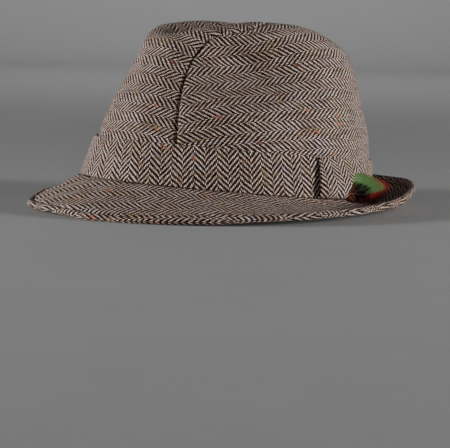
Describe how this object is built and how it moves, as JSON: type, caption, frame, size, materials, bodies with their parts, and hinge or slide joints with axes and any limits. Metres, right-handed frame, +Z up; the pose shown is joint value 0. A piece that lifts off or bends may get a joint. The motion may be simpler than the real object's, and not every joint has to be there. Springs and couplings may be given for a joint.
{
  "type": "herringbone tweed trilby hat",
  "caption": "Soft tweed trilby with a centre-creased crown, short snap brim, band of the same cloth and feathers held by a side loop; worn on the head.",
  "frame": {"origin": "bottom centre of the hat's box, on the surface that the brim stands on", "axes": "+Z up; the front of the hat faces -Y and the wearer's left is +X"},
  "size_m": [0.243, 0.2688, 0.1218],
  "materials": {
    "tweed": "herringbone wool tweed, cream on dark brown, with coloured flecks",
    "feather_red": "soft dyed feather, dark red",
    "feather_green": "soft dyed feather, mid green with a pale rachis",
    "feather_brown": "fluffy feather, russet with a black base"
  },
  "bodies": {
    "root": {"crown_front": "tweed", "crown_left": "tweed", "crown_right": "tweed", "hat_band": "tweed", "band_loop": "tweed", "brim_top": "tweed", "brim_under": "tweed", "feather_red": "feather_red", "feather_green": "feather_green", "feather_brown": "feather_brown"}
  },
  "joints": []
}
